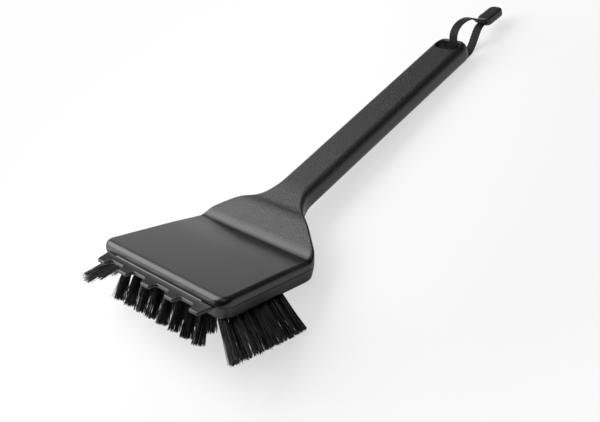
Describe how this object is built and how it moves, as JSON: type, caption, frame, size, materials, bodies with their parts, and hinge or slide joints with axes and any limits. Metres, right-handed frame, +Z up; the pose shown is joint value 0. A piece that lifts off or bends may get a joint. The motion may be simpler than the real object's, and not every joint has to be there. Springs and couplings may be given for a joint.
{
  "type": "grill brush",
  "caption": "Long-handled grill brush with a wide flat head, nylon bristle tufts along its front and both sides, a notched scraper lip and a hang strap through the handle end",
  "frame": {"origin": "on the floor under the middle of the outline, brush resting on its rear side bristles and on the strap under the handle end", "axes": "+X to the right side of the head, +Y from the scraper towards the handle end, +Z up"},
  "size_m": [0.2008, 0.4634, 0.0685],
  "materials": {
    "body_plastic": "fine moulded grain",
    "clip_plastic": "smooth moulded",
    "bristle_nylon": "drawn filament",
    "strap_webbing": "flat woven webbing",
    "screw_steel": "zinc plated"
  },
  "bodies": {
    "brush": {"head_and_handle": "body_plastic", "brush_block": "body_plastic", "scraper": "body_plastic", "front_tuft_1": "bristle_nylon", "front_tuft_2": "bristle_nylon", "front_tuft_3": "bristle_nylon", "front_tuft_4": "bristle_nylon", "front_tuft_5": "bristle_nylon", "front_tuft_6": "bristle_nylon", "front_tuft_7": "bristle_nylon", "front_tuft_8": "bristle_nylon", "inner_tuft_1": "bristle_nylon", "inner_tuft_2": "bristle_nylon", "inner_tuft_3": "bristle_nylon", "inner_tuft_4": "bristle_nylon", "inner_tuft_5": "bristle_nylon", "inner_tuft_6": "bristle_nylon", "inner_tuft_7": "bristle_nylon", "left_tuft_1": "bristle_nylon", "left_tuft_2": "bristle_nylon", "left_tuft_3": "bristle_nylon", "left_tuft_4": "bristle_nylon", "left_tuft_5": "bristle_nylon", "left_tuft_6": "bristle_nylon", "left_tuft_7": "bristle_nylon", "right_tuft_1": "bristle_nylon", "right_tuft_2": "bristle_nylon", "right_tuft_3": "bristle_nylon", "right_tuft_4": "bristle_nylon", "right_tuft_5": "bristle_nylon", "right_tuft_6": "bristle_nylon", "right_tuft_7": "bristle_nylon", "block_screw_1": "screw_steel", "block_screw_2": "screw_steel", "block_screw_3": "screw_steel", "block_screw_4": "screw_steel", "block_screw_5": "screw_steel", "block_screw_6": "screw_steel"},
    "hang_loop": {"hang_strap": "strap_webbing", "clip_upper": "clip_plastic", "clip_lower": "clip_plastic"}
  },
  "joints": [
    {"name": "strap_swing", "type": "hinge", "parent": "brush", "child": "hang_loop", "pos_m": [0, 0.16837, 0.01137], "axis": [1, 0, 0], "range_deg": [-90, 20]}
  ]
}
